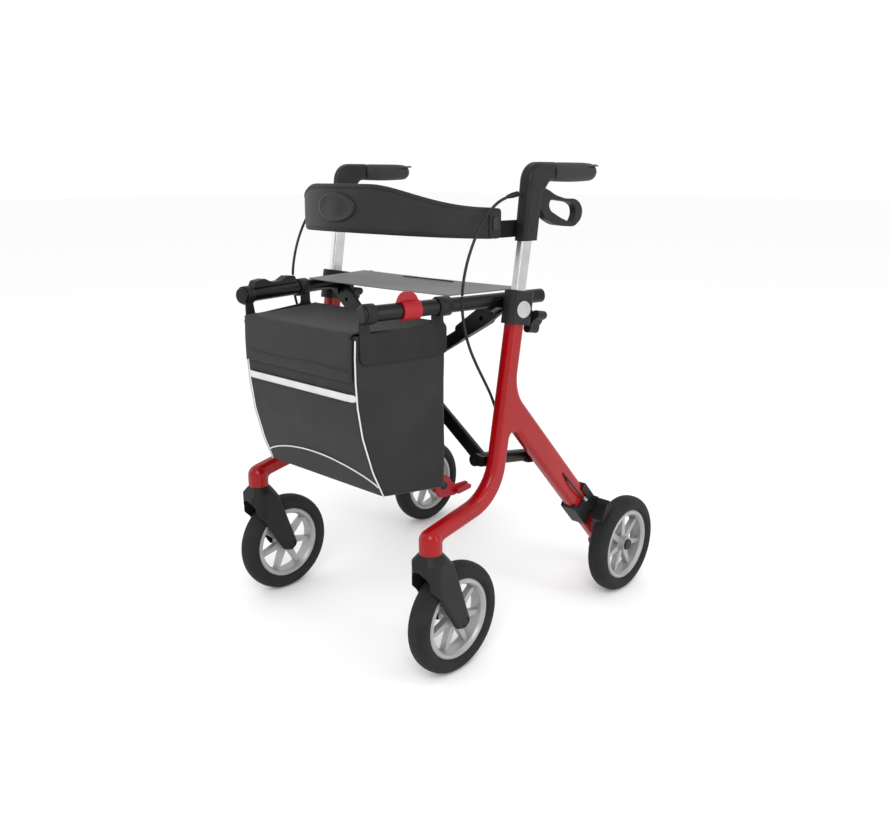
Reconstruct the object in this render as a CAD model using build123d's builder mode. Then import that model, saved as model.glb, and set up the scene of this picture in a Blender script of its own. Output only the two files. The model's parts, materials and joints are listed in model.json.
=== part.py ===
"""A folding four-wheeled rollator walker, in millimetres.

+Z is up, the front faces -Y, and +X is the walker user's left.
The origin is on the floor, under the middle of the walker's bounding box.
The two side frames are joined by a scissor brace, which carries the seat rails.
"""
from build123d import *
import math
import os

# Wheels
WHEEL_R = 100.0
TYRE_HALF_WIDTH = 20.5
BEAD_R = 72.4
BEAD_HALF = 14.4
RIM_INNER_R = 61.5
HUB_R = 16.0
SPOKES = 7
SPOKE_TURN = -11.0
PEDAL_THICK = 6.0
SHOE_PIN_R = 4.0
SHOE_GAP = 10.0
SHOE_WIDTH = 26.0
FRONT_WHEEL_Y = -219.3
REAR_WHEEL_X = 282.2
REAR_WHEEL_Y = 252.0
RUNNING_GAP = 0.05

# Side frames, moulded with a rounded flat section
SIDE_X = 240.0
FRAME_WIDTH = 25.0
FRAME_EDGE = 9.0
COLUMN_TILT = 9.75
COLUMN_Y = -66.0
COLUMN_Z = 595.0
COLUMN_HALF = 16.5
COLUMN_TOP = -1.5
LEG_UPPER = 26.5
LEG_LOWER = 24.2
LEG_END_R = 23.6
LEG_ANGLE = 46.83
STEERER_Y = -274.4
SOCKET_R = 19.75
SOCKET_BOTTOM = 238.0
SOCKET_HEIGHT = 22.0
STEM_R = 8.0
STEM_TOP = 262.0
STEM_BOTTOM = 220.0
FORK_HALF = 30.5
REAR_AXLE_R = 6.0
FRONT_AXLE_R = 4.0

# Telescopic handles
TUBE_X = 13.0
TUBE_Y = 27.0
TUBE_LOW = -125.0
TUBE_HIGH = 148.0
BORE_GAP = 0.3
BORE_LOW = -200.0
CLAMP_X = 30.0
CLAMP_Y = 60.0
CLAMP_SHIFT = 4.0
CLAMP_TOP = 56.0
KNOB_AT = 10.0
KNOB_SCREW_R = 4.0
HOUSING_WIDTH = 28.0
HOUSING_BOTTOM = 733.0
GRIP_Z = 845.5
GRIP_R = 16.0
GRIP_START = 26.0
GRIP_BODY = 128.0
GRIP_END = 172.0
LEVER_PIN = (-22.0, 804.0)
LEVER_PIN_R = 3.0
LEVER_WIDTH = 13.0

# Scissor brace
PIVOT_X = 213.0
PIVOT_U = 134.5
BRACE_Y = -86.3
BRACE_Z = 487.3
BAR_WIDTH = 24.0
BAR_DEPTH = 12.0
BAR_GAP = 1.0
BAR_REACH = 212.0
AXLE_R = 6.0
SLEEVE_R = 12.5
SPACER_R = 11.5

# Seat rails
RAIL_FRONT = (161.0, -334.0)
RAIL_REAR = (223.3, 26.0)
RAIL_Z = 632.0
RAIL_R = 12.25
RAIL_SLEEVE_R = 13.0
RAIL_SLEEVE_END = 161.0
RAIL_CAP_R = 14.5
RAIL_CAP = 9.5

# Soft goods
SLING_Z = (644.6, 648.4)
SLING_FRONT = (186.0, -172.0)
SLING_REAR = (213.0, 0.0)
BAG_FRONT = (148.0, -345.0)
BAG_REAR = (176.0, -166.0)
BAG_TOP = 597.0
BAG_WALL = 4.0
BAG_PLATE = 4.0
LID_INSET = 7.0
HOOK_ARMS = ((-340.0, -321.0), (-201.0, -176.0))
PAD_END = (226.0, -100.0)
PAD_MIDDLE_Y = -253.0
PAD_THICK = 15.0
STRAP_Z = (738.0, 768.0)

# Brake cables
CABLE_R = 2.5
LOWER_CABLE_R = 2.0

SIN_T = math.sin(math.radians(COLUMN_TILT))
COS_T = math.cos(math.radians(COLUMN_TILT))
SIN_LEG = math.sin(math.radians(LEG_ANGLE))
COS_LEG = math.cos(math.radians(LEG_ANGLE))
SIDES = {"left": 1, "right": -1}


def save(builder, name):
    """Label a finished piece and write its file."""
    builder.part.label = name
    export_step(builder.part, f"parts/{name}.step")


def save_group(builders, name):
    """Label several touching pieces as one part and write its file."""
    export_step(Compound(label=name, children=[builder.part for builder in builders]), f"parts/{name}.step")


def column_point(along, forward):
    """(y, z) of a point a distance up the column's axis and forward of it."""
    return (COLUMN_Y + along * SIN_T - forward * COS_T, COLUMN_Z + along * COS_T + forward * SIN_T)


def column_plane(sign, along):
    """Plane across a column: local x is X, local y points rearward."""
    y, z = column_point(along, 0)
    return Plane((sign * SIDE_X, y, z), x_dir=(1, 0, 0), z_dir=(0, SIN_T, COS_T))


def leg_point(along, outward):
    """(y, z) of a point up the rear leg from its hub and towards its upper edge."""
    return (
        REAR_WHEEL_Y - along * COS_LEG + outward * SIN_LEG,
        WHEEL_R + along * SIN_LEG + outward * COS_LEG,
    )


def brace_plane(forward=0.0):
    """Plane of the scissor brace: local x is X, local y points up the columns."""
    origin = (0, BRACE_Y - forward * COS_T, BRACE_Z + forward * SIN_T)
    return Plane(origin, x_dir=(1, 0, 0), z_dir=(0, -COS_T, SIN_T))


def rail_length():
    return math.hypot(RAIL_REAR[0] - RAIL_FRONT[0], RAIL_REAR[1] - RAIL_FRONT[1])


def rail_at(y):
    """Half-width of the rails' centre lines at y."""
    slope = (RAIL_REAR[0] - RAIL_FRONT[0]) / (RAIL_REAR[1] - RAIL_FRONT[1])
    return RAIL_FRONT[0] + slope * (y - RAIL_FRONT[1])


def rail_plane(sign, along=0.0):
    """Plane across a seat rail: local x points to the rail's right, local y up."""
    dx = sign * (RAIL_REAR[0] - RAIL_FRONT[0]) / rail_length()
    dy = (RAIL_REAR[1] - RAIL_FRONT[1]) / rail_length()
    origin = (sign * RAIL_FRONT[0] + along * dx, RAIL_FRONT[1] + along * dy, RAIL_Z)
    return Plane(origin, x_dir=(-dy, dx, 0), z_dir=(dx, dy, 0))


def along_rail(y):
    """Distance along a rail from its front end to the place at y."""
    return (y - RAIL_FRONT[1]) * rail_length() / (RAIL_REAR[1] - RAIL_FRONT[1])


def bag_half(y):
    """Half-width of the bag at y."""
    slope = (BAG_REAR[0] - BAG_FRONT[0]) / (BAG_REAR[1] - BAG_FRONT[1])
    return BAG_FRONT[0] + slope * (y - BAG_FRONT[1])


def bag_plan(inset, rear_y):
    """Corners of the bag's plan, drawn in by inset at both sides and cut off at rear_y."""
    front_y = BAG_FRONT[1] - 15
    return [
        (inset - bag_half(front_y), front_y),
        (bag_half(front_y) - inset, front_y),
        (bag_half(rear_y) - inset, rear_y),
        (inset - bag_half(rear_y), rear_y),
    ]


def bag_side_plane(sign):
    """Plane of a bag side: local x runs rearward from the front corner, local y up."""
    dx = sign * (BAG_REAR[0] - BAG_FRONT[0])
    dy = BAG_REAR[1] - BAG_FRONT[1]
    return Plane((sign * BAG_FRONT[0], BAG_FRONT[1], 0), x_dir=(dx, dy, 0), z_dir=(dy, -dx, 0))


def side_frame(name, sign):
    """Column, curved front leg, steerer socket and rear leg in one moulding."""
    outline = [
        column_point(COLUMN_TOP + 30, COLUMN_HALF),
        (-131.9, 308.6),
        (-294.1, 276.4),
        (-294.1, SOCKET_BOTTOM - 25),
        (-254.7, SOCKET_BOTTOM - 25),
        (-254.7, 254.4),
        (-103.0, 282.4),
        (-79.5, 418.8),
        leg_point(-LEG_LOWER, -LEG_LOWER),
        leg_point(-LEG_LOWER, LEG_UPPER),
        (-69.4, 477.3),
        column_point(COLUMN_TOP + 30, -COLUMN_HALF),
    ]
    corners = [0, 78, 26, 0, 0, 8, 95, 13.5, LEG_END_R, LEG_END_R, 70, 0]
    with BuildPart() as frame:
        with BuildSketch(Plane.YZ.offset(sign * SIDE_X)):
            with BuildLine():
                FilletPolyline(*outline, radius=corners, close=True)
            make_face()
        extrude(amount=FRAME_WIDTH / 2, both=True)
        fillet(frame.faces().filter_by(Axis.X).edges(), radius=FRAME_EDGE)
        split(bisect_by=column_plane(sign, COLUMN_TOP), keep=Keep.BOTTOM)
        with BuildSketch(Plane.XY.offset(SOCKET_BOTTOM)):
            with Locations((sign * SIDE_X, STEERER_Y)):
                Rectangle(60, 60)
        extrude(amount=-40, mode=Mode.SUBTRACT)
        with Locations((sign * SIDE_X, STEERER_Y, SOCKET_BOTTOM + SOCKET_HEIGHT / 2)):
            Cylinder(SOCKET_R, SOCKET_HEIGHT)
        with Locations((sign * SIDE_X, STEERER_Y, SOCKET_BOTTOM + SOCKET_HEIGHT)):
            Sphere(SOCKET_R)
        with BuildSketch(column_plane(sign, COLUMN_TOP)):
            RectangleRounded(TUBE_X + 2 * BORE_GAP, TUBE_Y + 2 * BORE_GAP, 3)
        extrude(amount=BORE_LOW - COLUMN_TOP, mode=Mode.SUBTRACT)
        with BuildSketch(Plane.XY.offset(SOCKET_BOTTOM)):
            with Locations((sign * SIDE_X, STEERER_Y)):
                Circle(STEM_R + RUNNING_GAP)
        extrude(amount=STEM_TOP + 1 - SOCKET_BOTTOM, mode=Mode.SUBTRACT)
        with BuildSketch(Plane.YZ.offset(sign * SIDE_X)):
            with Locations((REAR_WHEEL_Y, WHEEL_R)):
                Circle(REAR_AXLE_R)
        extrude(amount=FRAME_WIDTH, both=True, mode=Mode.SUBTRACT)
    save(frame, f"side_frame_{name}")
    return frame


def height_clamp(name, sign):
    """Black collar on top of the column, which grips the handle tube."""
    with BuildPart() as clamp:
        with BuildSketch(column_plane(sign, COLUMN_TOP)):
            with Locations((0, CLAMP_SHIFT)):
                RectangleRounded(CLAMP_X, CLAMP_Y, 13)
        extrude(amount=CLAMP_TOP - COLUMN_TOP)
        fillet(clamp.faces().sort_by(Axis.Z)[-1].edges(), radius=2)
        with BuildSketch(column_plane(sign, COLUMN_TOP)):
            RectangleRounded(TUBE_X + 2 * BORE_GAP, TUBE_Y + 2 * BORE_GAP, 3)
        extrude(amount=CLAMP_TOP - COLUMN_TOP, mode=Mode.SUBTRACT)
        with BuildSketch(knob_plane(sign, CLAMP_Y / 2 + CLAMP_SHIFT)):
            Circle(KNOB_SCREW_R + RUNNING_GAP)
        extrude(amount=-(CLAMP_Y / 2 + CLAMP_SHIFT - TUBE_Y / 2 - 1), mode=Mode.SUBTRACT)
    save(clamp, f"height_clamp_{name}")


def knob_plane(sign, rearward):
    """Plane facing rearward, square to the column, at the knob's height."""
    y, z = column_point(KNOB_AT, -rearward)
    return Plane((sign * SIDE_X, y, z), x_dir=(1, 0, 0), z_dir=(0, COS_T, -SIN_T))


def clamp_cap(name, sign):
    """Silver oval disc on the clamp's outer face."""
    disc_y, disc_z = column_point(25, -2)
    outer = sign * (SIDE_X + CLAMP_X / 2)
    with BuildPart() as cap:
        with BuildSketch(Plane.YZ.offset(outer)):
            with Locations((disc_y, disc_z)):
                Ellipse(18, 14.5, rotation=-COLUMN_TILT)
        extrude(amount=sign * 1.8)
        chamfer(cap.faces().sort_by(Axis.X)[-1 if sign > 0 else 0].edges(), length=0.6)
    save(cap, f"clamp_cap_{name}")


def height_knob(name, sign):
    """Three-winged clamping knob with its screw."""
    back = CLAMP_Y / 2 + CLAMP_SHIFT
    with BuildPart() as knob:
        with BuildSketch(knob_plane(sign, back + 4)):
            Circle(12)
            with PolarLocations(0, 3, start_angle=90):
                with Locations((11.5, 0)):
                    SlotCenterToCenter(11, 15)
        extrude(amount=26)
        fillet(knob.edges().group_by(Axis.Y)[-1], radius=3)
        with BuildSketch(knob_plane(sign, back + 4)):
            Circle(KNOB_SCREW_R)
        extrude(amount=-(back + 3 - TUBE_Y / 2))
    save(knob, f"height_knob_{name}")


def handle_tube(name, sign):
    """Flat telescopic tube."""
    with BuildPart() as tube:
        with BuildSketch(column_plane(sign, TUBE_LOW)):
            RectangleRounded(TUBE_X, TUBE_Y, 3)
            RectangleRounded(TUBE_X - 4, TUBE_Y - 4, 1.5, mode=Mode.SUBTRACT)
        extrude(amount=TUBE_HIGH - TUBE_LOW)
    save(tube, f"handle_tube_{name}")


def handle_housing(name, sign):
    """Moulded bracket between the tube and the grip, slotted for the brake lever."""
    outline = [
        (-42.5, 861.5),
        (-60.0, HOUSING_BOTTOM - 25),
        (-24.0, HOUSING_BOTTOM - 25),
        (-20.0, 734),
        (-13.0, 785),
        (-8.0, 808),
        (11.0, 829.5),
        (GRIP_START, 829.5),
        (GRIP_START, 861.5),
    ]
    corners = [34, 0, 0, 60, 60, 16, 18, 0, 0]
    with BuildPart() as housing:
        with BuildSketch(Plane.YZ.offset(sign * SIDE_X)):
            with BuildLine():
                FilletPolyline(*outline, radius=corners, close=True)
            make_face()
        extrude(amount=HOUSING_WIDTH / 2, both=True)
        fillet(housing.faces().filter_by(Axis.X).edges(), radius=9)
        split(bisect_by=Plane.XY.offset(HOUSING_BOTTOM), keep=Keep.TOP)
        with BuildSketch(column_plane(sign, TUBE_HIGH)):
            RectangleRounded(TUBE_X, TUBE_Y, 3)
        extrude(amount=-60, mode=Mode.SUBTRACT)
        with BuildSketch(Plane.YZ.offset(sign * SIDE_X)):
            with Locations((-4, 797)):
                Rectangle(58, 58)
        extrude(amount=LEVER_WIDTH / 2 + 0.5, both=True, mode=Mode.SUBTRACT)
        with BuildSketch(Plane.YZ.offset(sign * SIDE_X)):
            with Locations(LEVER_PIN):
                Circle(LEVER_PIN_R + RUNNING_GAP)
        extrude(amount=12, both=True, mode=Mode.SUBTRACT)
    save(housing, f"handle_housing_{name}")


def grip(name, sign):
    """Soft hand grip with a flat thumb fin at its tip."""
    with BuildPart() as handle:
        with BuildSketch(Plane((sign * SIDE_X, GRIP_START, GRIP_Z), x_dir=(1, 0, 0), z_dir=(0, 1, 0))):
            RectangleRounded(2 * GRIP_R, 2 * GRIP_R, 14)
        extrude(amount=GRIP_BODY)
        fillet(handle.faces().sort_by(Axis.Y)[-1].edges(), radius=9)
        with BuildSketch(Plane.XY.offset(GRIP_Z + GRIP_R - 11)):
            with Locations((sign * SIDE_X, (GRIP_END + GRIP_START + 70) / 2)):
                RectangleRounded(26, GRIP_END - GRIP_START - 70, 12)
        extrude(amount=8)
    save(handle, f"grip_{name}")


def closed_radii(points, largest):
    """Even arcs for the corners of a closed outline, none above the largest."""
    return [min(radius, largest) for radius in route_radii([points[-1], *points, points[0]])]


def brake_lever(name, sign):
    """Closed-loop brake lever under the grip, and its pivot pin."""
    outer = [
        (-31, 806),
        (-22, 815),
        (0.6, 819.6),
        (16.5, 814.5),
        (34, 806.7),
        (64, 800),
        (91.6, 799.7),
        (107.6, 793.3),
        (118, 779),
        (113, 763.4),
        (95, 751.7),
        (79, 751.5),
        (34, 756),
        (7.4, 767),
        (-1.7, 779),
        (-12, 789),
        (-28, 795),
    ]
    finger_hole = [
        (20, 800),
        (35, 798.3),
        (77, 794),
        (93, 787),
        (97, 773),
        (89, 760),
        (79, 759),
        (50, 768),
        (21, 780),
        (15, 790.4),
    ]
    with BuildPart() as lever:
        with BuildSketch(Plane.YZ.offset(sign * SIDE_X)):
            with BuildLine():
                FilletPolyline(*outer, radius=closed_radii(outer, 80), close=True)
            make_face()
            with BuildLine():
                FilletPolyline(*finger_hole, radius=closed_radii(finger_hole, 80), close=True)
            make_face(mode=Mode.SUBTRACT)
            with Locations(LEVER_PIN):
                Circle(LEVER_PIN_R, mode=Mode.SUBTRACT)
        extrude(amount=LEVER_WIDTH / 2, both=True)
    with BuildPart() as pin:
        with BuildSketch(Plane.YZ.offset(sign * SIDE_X)):
            with Locations(LEVER_PIN):
                Circle(LEVER_PIN_R)
        extrude(amount=11.5, both=True)
    save_group([lever, pin], f"brake_lever_{name}")


def wheel(prefix, name, x, y, bore_r, hub_half):
    """One tyre and one seven-spoked rim, each in a file of its own."""
    section = Plane((x, y, WHEEL_R), x_dir=(1, 0, 0), z_dir=(0, -1, 0))
    axle = Axis((x, y, WHEEL_R), (1, 0, 0))
    with BuildPart() as tyre:
        with BuildSketch(section):
            with BuildLine():
                Line((-BEAD_HALF, BEAD_R), (BEAD_HALF, BEAD_R))
                Spline(
                    (BEAD_HALF, BEAD_R),
                    (TYRE_HALF_WIDTH, 84),
                    (15.5, 95.2),
                    (0, WHEEL_R),
                    (-15.5, 95.2),
                    (-TYRE_HALF_WIDTH, 84),
                    (-BEAD_HALF, BEAD_R),
                )
            make_face()
        revolve(axis=axle)
    save(tyre, f"{prefix}_tyre_{name}")

    spoke_length = RIM_INNER_R + 4 - HUB_R + 3
    with BuildPart() as rim:
        with BuildSketch(section):
            with BuildLine():
                Polyline(
                    (-BEAD_HALF, BEAD_R),
                    (BEAD_HALF, BEAD_R),
                    (16, 70),
                    (16, 65),
                    (11, RIM_INNER_R),
                    (-11, RIM_INNER_R),
                    (-16, 65),
                    (-16, 70),
                    (-BEAD_HALF, BEAD_R),
                )
            make_face()
        revolve(axis=axle)
        with BuildSketch(Plane.YZ.offset(x)):
            with Locations((y, WHEEL_R)):
                Circle(HUB_R)
        extrude(amount=hub_half, both=True)
        with BuildSketch(Plane.YZ.offset(x)):
            with Locations((y, WHEEL_R)):
                with PolarLocations(0, SPOKES, start_angle=SPOKE_TURN):
                    with Locations((HUB_R - 3, 0)):
                        Trapezoid(14, spoke_length, 86, rotation=-90, align=(Align.CENTER, Align.MIN))
        extrude(amount=6, both=True)
        with BuildSketch(Plane.YZ.offset(x)):
            with Locations((y, WHEEL_R)):
                Circle(bore_r + RUNNING_GAP)
        extrude(amount=hub_half + 1, both=True, mode=Mode.SUBTRACT)
    save(rim, f"{prefix}_rim_{name}")


def caster(name, sign):
    """Fork that steers about its stem, with the stem and the wheel's axle."""
    x = sign * SIDE_X
    outline = [
        (-280, SOCKET_BOTTOM + 20),
        (-306, 214),
        (-300, 184),
        (-283, 166),
        (-238, 92),
        (-219.3, 86),
        (-204, 97),
        (-236, 188),
        (-262, SOCKET_BOTTOM + 20),
    ]
    corners = [0, 26, 16, 20, 12, 12, 12, 40, 0]
    with BuildPart() as fork:
        with BuildSketch(Plane.YZ.offset(x)):
            with BuildLine():
                FilletPolyline(*outline, radius=corners, close=True)
            make_face()
        extrude(amount=FORK_HALF, both=True)
        fillet(fork.faces().filter_by(Axis.X).edges(), radius=6)
        with BuildSketch(Plane.XY.offset(50)):
            with Locations((x, -276)):
                Circle(FORK_HALF)
            with Locations((x, -231)):
                Rectangle(2 * FORK_HALF, 90)
        extrude(amount=250, mode=Mode.INTERSECT)
        with BuildSketch(Plane.YZ.offset(x)):
            with Locations((FRONT_WHEEL_Y, WHEEL_R)):
                Circle(104)
        extrude(amount=23, both=True, mode=Mode.SUBTRACT)
        with BuildSketch(Plane((x, -230, 190), x_dir=(1, 0, 0), z_dir=(0, -1, 0))):
            Circle(21)
            with Locations((0, -30)):
                Rectangle(42, 60)
        extrude(amount=90, mode=Mode.SUBTRACT)
        with BuildSketch(Plane((x, STEERER_Y, 0), x_dir=(1, 0, 0), z_dir=(0, -1, 0))):
            with BuildLine():
                Polyline(
                    (SOCKET_R, SOCKET_BOTTOM - 0.5),
                    (45, SOCKET_BOTTOM - 29),
                    (80, SOCKET_BOTTOM - 29),
                    (80, SOCKET_BOTTOM + 25),
                    (0, SOCKET_BOTTOM + 25),
                    (0, SOCKET_BOTTOM - 0.5),
                    close=True,
                )
            make_face()
        revolve(axis=Axis((x, STEERER_Y, 0), (0, 0, 1)), mode=Mode.SUBTRACT)
        with BuildSketch(Plane.XY.offset(STEM_TOP)):
            with Locations((x, STEERER_Y)):
                Circle(STEM_R)
        extrude(amount=STEM_BOTTOM - STEM_TOP, mode=Mode.SUBTRACT)
        with BuildSketch(Plane.YZ.offset(x)):
            with Locations((FRONT_WHEEL_Y, WHEEL_R)):
                Circle(FRONT_AXLE_R)
        extrude(amount=FORK_HALF + 5, both=True, mode=Mode.SUBTRACT)
        for end in (-1, 1):
            with BuildSketch(Plane.YZ.offset(x + end * FORK_HALF)):
                with Locations((FRONT_WHEEL_Y, WHEEL_R)):
                    Circle(8)
            extrude(amount=-end * 4, mode=Mode.SUBTRACT)
    save(fork, f"caster_fork_{name}")

    with BuildPart() as stem:
        with BuildSketch(Plane.XY.offset(STEM_BOTTOM)):
            with Locations((x, STEERER_Y)):
                Circle(STEM_R)
        extrude(amount=STEM_TOP - STEM_BOTTOM)
        chamfer(stem.faces().sort_by(Axis.Z)[-1].edges(), length=1)
    save(stem, f"caster_stem_{name}")

    with BuildPart() as axle:
        with BuildSketch(Plane.YZ.offset(x)):
            with Locations((FRONT_WHEEL_Y, WHEEL_R)):
                Circle(FRONT_AXLE_R)
        extrude(amount=FORK_HALF - 4, both=True)
        for end in (-1, 1):
            with BuildSketch(Plane.YZ.offset(x + end * (FORK_HALF - 4))):
                with Locations((FRONT_WHEEL_Y, WHEEL_R)):
                    Circle(6.5)
            extrude(amount=end * 3)
    save(axle, f"front_axle_{name}")


def rear_axle(name, sign):
    """Bolt through the rear leg and the wheel's hub, with a head at each end."""
    inner = sign * (SIDE_X - FRAME_WIDTH / 2 - PEDAL_THICK)
    outer = sign * (REAR_WHEEL_X + 16.5)
    with BuildPart() as axle:
        with BuildSketch(Plane.YZ.offset(inner)):
            with Locations((REAR_WHEEL_Y, WHEEL_R)):
                Circle(REAR_AXLE_R)
        extrude(amount=outer - inner)
        with BuildSketch(Plane.YZ.offset(inner)):
            with Locations((REAR_WHEEL_Y, WHEEL_R)):
                Circle(9)
        extrude(amount=-sign * 4)
        with BuildSketch(Plane.YZ.offset(outer)):
            with Locations((REAR_WHEEL_Y, WHEEL_R)):
                Circle(11)
        extrude(amount=sign * 3)
        with BuildSketch(Plane.YZ.offset(sign * (SIDE_X + FRAME_WIDTH / 2))):
            with Locations((REAR_WHEEL_Y, WHEEL_R)):
                Circle(10)
        extrude(amount=sign * (REAR_WHEEL_X - 16 - 0.7 - SIDE_X - FRAME_WIDTH / 2))
    save(axle, f"rear_axle_{name}")


def kerb_pedal(name, sign):
    """Red foot lever on the inner side of the rear hub."""
    outline = [
        (222, 98),
        (238, 71),
        (290, 65),
        (345, 72),
        (340, 90),
        (298, 91),
        (284, 100),
        (268, 122),
        (236, 122),
    ]
    corners = [8, 14, 30, 8, 8, 12, 10, 12, 12]
    inner = SIDE_X - FRAME_WIDTH / 2
    with BuildPart() as pedal:
        with BuildSketch(Plane.YZ.offset(sign * inner)):
            with BuildLine():
                FilletPolyline(*outline, radius=corners, close=True)
            make_face()
            with Locations((REAR_WHEEL_Y, WHEEL_R)):
                Circle(REAR_AXLE_R, mode=Mode.SUBTRACT)
        extrude(amount=-sign * PEDAL_THICK)
        with BuildSketch(Plane.YZ.offset(sign * (inner - PEDAL_THICK))):
            with Locations((314, 78)):
                SlotCenterToCenter(40, 12, rotation=5)
        extrude(amount=-sign * 13)
    save(pedal, f"kerb_pedal_{name}")


def brake_parts(name, sign, frame):
    """Collar on the rear leg with the arm that carries the brake shoe."""
    face_x = sign * (SIDE_X + FRAME_WIDTH / 2)
    arm_at = 118.0
    pin = leg_point(arm_at, 27)
    with BuildPart() as bracket:
        with BuildSketch(Plane.YZ.offset(sign * SIDE_X)):
            with BuildLine():
                Polyline(
                    leg_point(106, -27.6),
                    leg_point(172, -27.6),
                    leg_point(182, 30),
                    leg_point(116, 30),
                    close=True,
                )
            make_face()
        extrude(amount=FRAME_WIDTH / 2 + 3.5, both=True)
        fillet(bracket.edges().filter_by(Axis.X), radius=4)
        add(frame.part, mode=Mode.SUBTRACT)
        with BuildSketch(Plane.YZ.offset(face_x)):
            with BuildLine():
                FilletPolyline(
                    leg_point(152, 15),
                    leg_point(159, -6),
                    leg_point(160, -19),
                    leg_point(200, -19),
                    leg_point(200, 15),
                    radius=[5, 8, 6, 0, 0],
                    close=True,
                )
            make_face()
        extrude(amount=sign * 10, mode=Mode.SUBTRACT)
        with BuildSketch(Plane.YZ.offset(face_x)):
            with BuildLine():
                Polyline(
                    leg_point(112, 2),
                    leg_point(124, 2),
                    leg_point(126, 27),
                    leg_point(124, 33),
                    leg_point(112, 33),
                    close=True,
                )
            make_face()
        extrude(amount=sign * 8.5)
        with BuildSketch(Plane.YZ.offset(face_x)):
            with Locations(pin):
                Circle(SHOE_PIN_R)
        extrude(amount=sign * (SHOE_GAP + SHOE_WIDTH + 1))
    save(bracket, f"brake_bracket_{name}")

    shoe_x = face_x + sign * SHOE_GAP
    with BuildPart() as shoe:
        with BuildSketch(Plane.YZ.offset(shoe_x)):
            with BuildLine():
                Polyline(
                    leg_point(102, -13),
                    leg_point(112, -11),
                    leg_point(124, 20),
                    leg_point(124, 31),
                    leg_point(113, 33),
                    leg_point(96, 26),
                    close=True,
                )
            make_face()
            with Locations(pin):
                Circle(SHOE_PIN_R + RUNNING_GAP, mode=Mode.SUBTRACT)
            with Locations((REAR_WHEEL_Y, WHEEL_R)):
                Circle(WHEEL_R + 2.6, mode=Mode.SUBTRACT)
        extrude(amount=sign * SHOE_WIDTH)
    save(shoe, f"brake_shoe_{name}")


def pivot_axle(name, sign, frame):
    """Long bolt of the brace's lower pivot, with its spacer tube and two lugs."""
    x = sign * PIVOT_X
    face = sign * (SIDE_X - FRAME_WIDTH / 2)
    rear_end = 128.0
    with BuildPart() as axle:
        with BuildSketch(brace_plane(-rear_end)):
            with Locations((x, -PIVOT_U)):
                Circle(AXLE_R)
        extrude(amount=rear_end + 27)
        with BuildSketch(brace_plane(27)):
            with Locations((x, -PIVOT_U)):
                Circle(9)
        extrude(amount=3)
    spacer_front = BAR_DEPTH + BAR_GAP + 1
    with BuildPart() as spacer:
        with BuildSketch(brace_plane(-spacer_front)):
            with Locations((x, -PIVOT_U)):
                Circle(SPACER_R)
        extrude(amount=spacer_front - rear_end)
        with BuildSketch(brace_plane(-rear_end + 16)):
            with Locations(((x + face) / 2, -PIVOT_U)):
                Rectangle(abs(face - x), 2 * SPACER_R)
        extrude(amount=-16)
        with BuildSketch(brace_plane(0)):
            with Locations((x, -PIVOT_U)):
                Circle(AXLE_R)
        extrude(amount=200, both=True, mode=Mode.SUBTRACT)
        add(frame.part, mode=Mode.SUBTRACT)
    with BuildPart() as lug:
        with BuildSketch(brace_plane(14)):
            with Locations((x, -PIVOT_U)):
                Circle(11.5)
            with Locations((x + sign * 8, -PIVOT_U)):
                Rectangle(16, 18)
        extrude(amount=13)
        with BuildSketch(brace_plane(4)):
            with Locations((sign * 227.6, -PIVOT_U)):
                Rectangle(2.8, 18)
        extrude(amount=11)
        with BuildSketch(brace_plane(0)):
            with Locations((x, -PIVOT_U)):
                Circle(AXLE_R)
        extrude(amount=200, both=True, mode=Mode.SUBTRACT)
        add(frame.part, mode=Mode.SUBTRACT)
    save_group([axle, spacer, lug], f"pivot_axle_{name}")


def seat_rail(name, sign):
    """Rail tube with its front cap and the thicker grip sleeve on its front half."""
    with BuildPart() as rail:
        with BuildSketch(rail_plane(sign)):
            Circle(RAIL_R)
            Circle(RAIL_R - 1.75, mode=Mode.SUBTRACT)
        extrude(amount=rail_length())
    with BuildPart() as sleeve:
        with BuildSketch(rail_plane(sign, 0.0)):
            Circle(RAIL_SLEEVE_R)
            Circle(RAIL_R, mode=Mode.SUBTRACT)
        extrude(amount=RAIL_SLEEVE_END)
    with BuildPart() as cap:
        with BuildSketch(rail_plane(sign)):
            Circle(RAIL_CAP_R)
        extrude(amount=-RAIL_CAP)
        fillet(cap.faces().sort_by(Axis.Y)[0].edges(), radius=3)
    with BuildPart() as plug:
        with BuildSketch(rail_plane(sign, rail_length())):
            Circle(RAIL_R)
        extrude(amount=2.5)
    save_group([rail, sleeve, cap, plug], f"seat_rail_{name}")


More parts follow.
